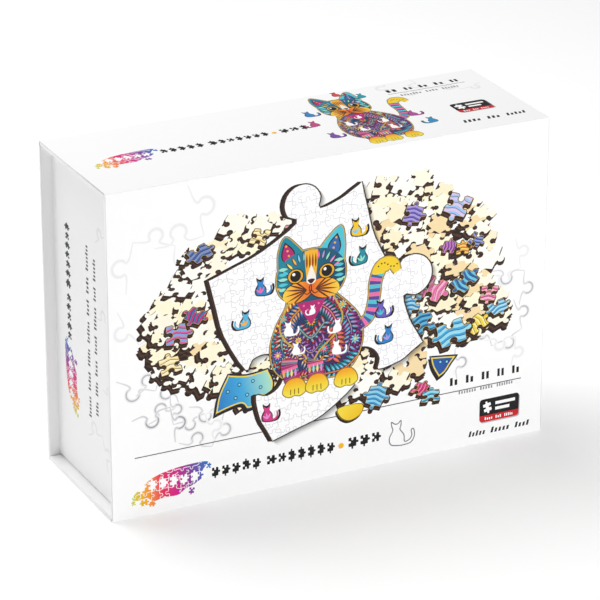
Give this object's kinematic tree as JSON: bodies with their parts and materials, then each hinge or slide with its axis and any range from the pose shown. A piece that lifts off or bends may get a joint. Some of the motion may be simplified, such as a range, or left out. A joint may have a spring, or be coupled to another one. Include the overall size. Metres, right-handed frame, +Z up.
{
  "type": "boxed jigsaw puzzle",
  "caption": "Book-style rigid gift box with a hinged lid and a magnetic flap, holding a picture sheet and loose wooden jigsaw pieces.",
  "frame": {"origin": "centre of the footprint of the standing box, at the level of the surface it stands on", "axes": "+X to the right along the lid's width, +Y from the lid to the back panel, +Z up through the spine; the box stands on its flap and is closed"},
  "size_m": [0.23, 0.078, 0.164],
  "materials": {
    "grey_board": "grey chipboard, matt",
    "printed_wrap": "white art paper, colour printed, matt film laminated",
    "tray_paper": "white art paper, matt film laminated",
    "liner_paper": "white uncoated paper",
    "gummed_tape": "brown kraft tape",
    "magnet": "nickel plated",
    "steel_plate": "zinc plated sheet steel",
    "picture_paper": "silk coated paper, colour printed",
    "puzzle_wood": "laser cut basswood plywood with burnt edges, colour printed face"
  },
  "bodies": {
    "root": {"back_board": "grey_board", "spine_board": "grey_board", "back_wrap": "printed_wrap", "spine_wrap": "printed_wrap", "back_liner": "liner_paper", "spine_liner": "liner_paper", "lid_fold": "printed_wrap", "tray_keepers": "steel_plate", "tray_floor_board": "grey_board", "tray_top_wall": "grey_board", "tray_bottom_wall": "grey_board", "tray_left_wall": "grey_board", "tray_right_wall": "grey_board", "tray_corner_tapes": "gummed_tape", "tray_wrap": "tray_paper", "tray_floor_liner": "liner_paper", "picture_sheet": "picture_paper", "puzzle_layer_1": "puzzle_wood", "puzzle_layer_2": "puzzle_wood", "puzzle_layer_3": "puzzle_wood", "puzzle_layer_4": "puzzle_wood", "puzzle_layer_5": "puzzle_wood", "puzzle_layer_6": "puzzle_wood", "puzzle_layer_7": "puzzle_wood", "puzzle_layer_8": "puzzle_wood", "puzzle_layer_9": "puzzle_wood", "cat_shaped_pieces": "puzzle_wood"},
    "lid": {"lid_board": "grey_board", "lid_wrap": "printed_wrap", "lid_liner": "liner_paper", "flap_fold": "printed_wrap"},
    "flap": {"flap_board": "grey_board", "flap_wrap": "printed_wrap", "flap_liner": "liner_paper", "flap_magnets": "magnet"}
  },
  "joints": [
    {"name": "lid_hinge", "type": "hinge", "parent": "root", "child": "lid", "pos_m": [0, -0.0388, 0.1638], "axis": [-1, 0, 0], "range_deg": [0, 200]},
    {"name": "flap_hinge", "type": "hinge", "parent": "lid", "child": "flap", "pos_m": [0, -0.0388, 0.0002], "axis": [-1, 0, 0], "range_deg": [0, 180]}
  ]
}
